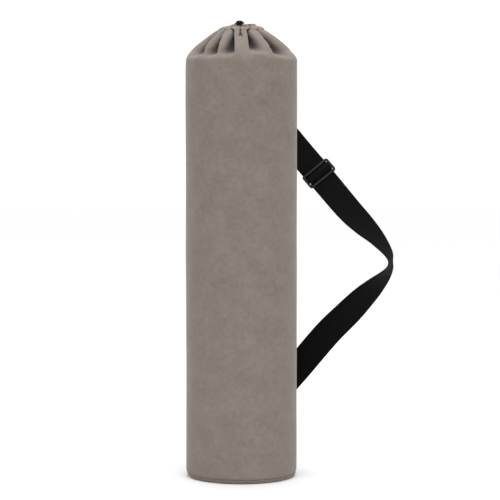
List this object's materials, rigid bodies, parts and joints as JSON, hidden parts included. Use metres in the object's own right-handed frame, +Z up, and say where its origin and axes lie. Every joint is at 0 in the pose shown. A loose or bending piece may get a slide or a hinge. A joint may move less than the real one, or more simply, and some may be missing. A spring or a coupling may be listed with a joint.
{
  "type": "yoga mat bag",
  "caption": "Tall round cloth bag for a rolled mat, with a gathered drawstring mouth, a flat base and an adjustable webbing shoulder strap.",
  "frame": {"origin": "centre of the flat underside of the base, on the surface that the bag stands on", "axes": "+Z up along the bag, -Y towards the front, +X towards the side that the strap hangs out on"},
  "size_m": [0.3104, 0.1685, 0.6744],
  "materials": {
    "cloth": "brushed taupe canvas, matt",
    "webbing": "black woven webbing, matt",
    "black_metal": "black enamelled wire, satin",
    "cord": "black braided cord, matt",
    "black_plastic": "black moulded plastic, satin"
  },
  "bodies": {
    "root": {"bag_body": "cloth", "base_panel": "cloth", "drawcord": "cord", "cord_stopper": "black_plastic", "strap_webbing": "webbing", "ring_tab": "webbing", "strap_slider": "black_metal", "strap_ring": "black_metal"}
  },
  "joints": []
}
